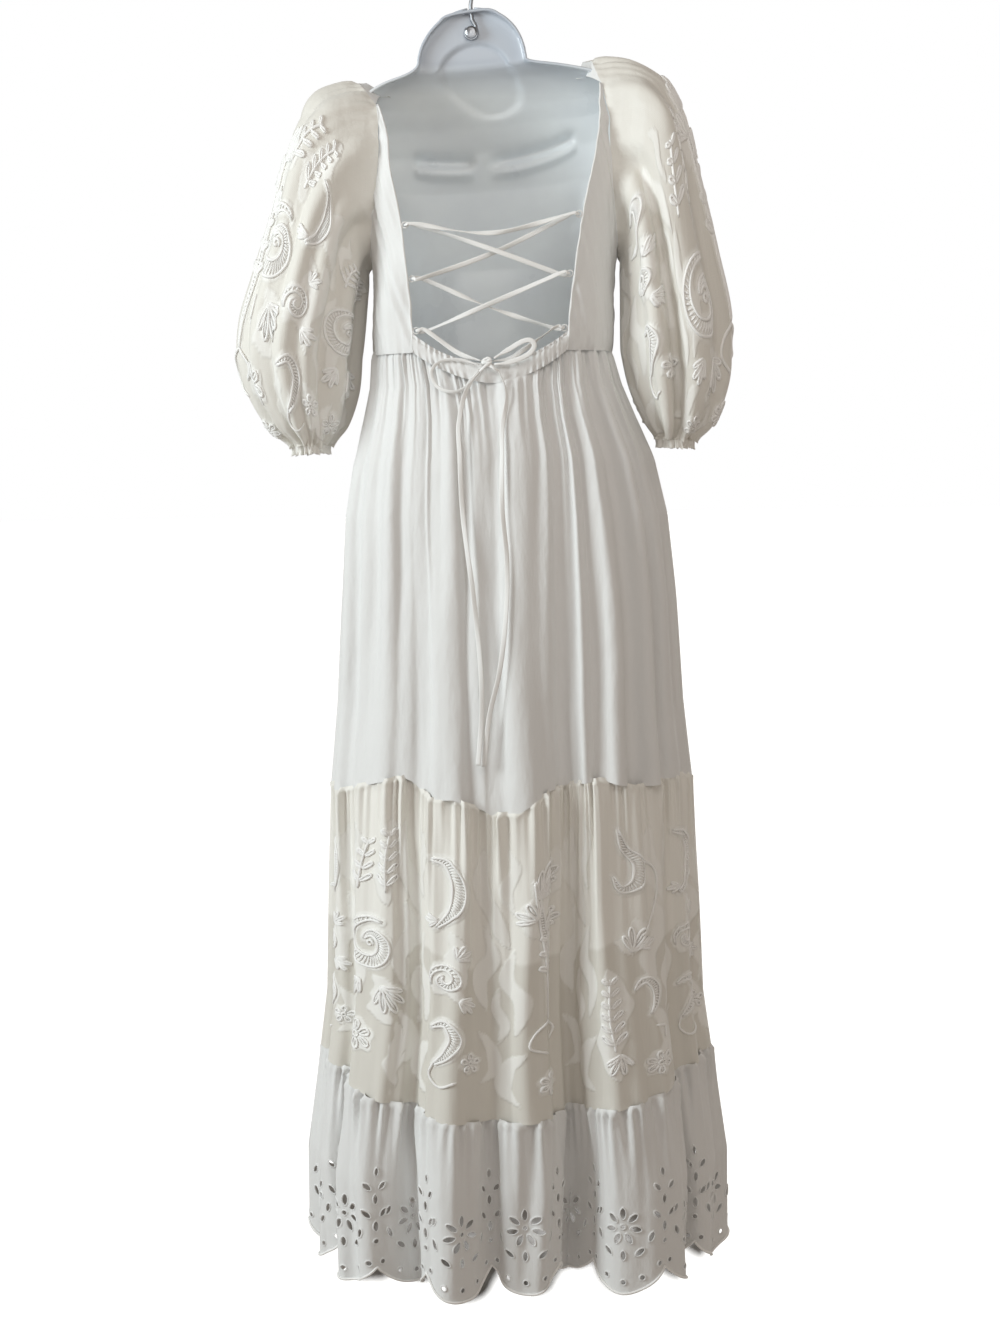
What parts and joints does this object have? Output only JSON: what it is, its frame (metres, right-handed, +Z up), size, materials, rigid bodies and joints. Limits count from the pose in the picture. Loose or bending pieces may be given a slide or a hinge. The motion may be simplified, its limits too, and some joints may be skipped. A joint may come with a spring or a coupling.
{
  "type": "maxi dress on hanging torso form",
  "caption": "Maxi dress with a laced open back, gathered puff sleeves and a tiered skirt with a scalloped hem, hung on a hollow torso form with a wire hook",
  "frame": {"origin": "the inner top of the hook's crook, where it rests on a rod", "axes": "+Z up; the laced back faces -Y and the dress front faces +Y; X runs across the shoulders"},
  "size_m": [0.55, 0.3573, 1.4833],
  "materials": {
    "bodice_back_left": "off-white matt cotton",
    "bodice_back_right": "off-white matt cotton",
    "bodice_front": "off-white matt cotton",
    "bow_left": "white woven cotton",
    "bow_right": "white woven cotton",
    "cuff_left": "cream semi-sheer embroidered organza",
    "cuff_right": "cream semi-sheer embroidered organza",
    "hook": "bright steel wire",
    "lace_knot": "white woven cotton",
    "lace_loop_left_1": "white woven cotton",
    "lace_loop_left_2": "white woven cotton",
    "lace_loop_left_3": "white woven cotton",
    "lace_loop_right_1": "white woven cotton",
    "lace_loop_right_2": "white woven cotton",
    "lace_loop_right_3": "white woven cotton",
    "lace_tail_left": "white woven cotton",
    "lace_tail_right": "white woven cotton",
    "lacing": "white woven cotton",
    "rivet": "bright steel wire",
    "skirt_lower_back": "off-white matt cotton",
    "skirt_lower_front": "off-white matt cotton",
    "skirt_middle_back": "cream semi-sheer embroidered organza",
    "skirt_middle_front": "cream semi-sheer embroidered organza",
    "skirt_upper_back": "off-white matt cotton",
    "skirt_upper_front": "off-white matt cotton",
    "sleeve_left": "cream semi-sheer embroidered organza",
    "sleeve_right": "cream semi-sheer embroidered organza",
    "torso_form": "frosted translucent bluish-grey moulding",
    "waist_casing": "off-white matt cotton"
  },
  "bodies": {
    "root": {"bodice_back_left": "bodice_back_left", "bodice_back_right": "bodice_back_right", "bodice_front": "bodice_front", "bow_left": "bow_left", "bow_right": "bow_right", "cuff_left": "cuff_left", "cuff_right": "cuff_right", "hook": "hook", "lace_knot": "lace_knot", "lace_loop_left_1": "lace_loop_left_1", "lace_loop_left_2": "lace_loop_left_2", "lace_loop_left_3": "lace_loop_left_3", "lace_loop_right_1": "lace_loop_right_1", "lace_loop_right_2": "lace_loop_right_2", "lace_loop_right_3": "lace_loop_right_3", "lace_tail_left": "lace_tail_left", "lace_tail_right": "lace_tail_right", "lacing": "lacing", "rivet": "rivet", "skirt_lower_back": "skirt_lower_back", "skirt_lower_front": "skirt_lower_front", "skirt_middle_back": "skirt_middle_back", "skirt_middle_front": "skirt_middle_front", "skirt_upper_back": "skirt_upper_back", "skirt_upper_front": "skirt_upper_front", "sleeve_left": "sleeve_left", "sleeve_right": "sleeve_right", "torso_form": "torso_form", "waist_casing": "waist_casing"}
  },
  "joints": []
}
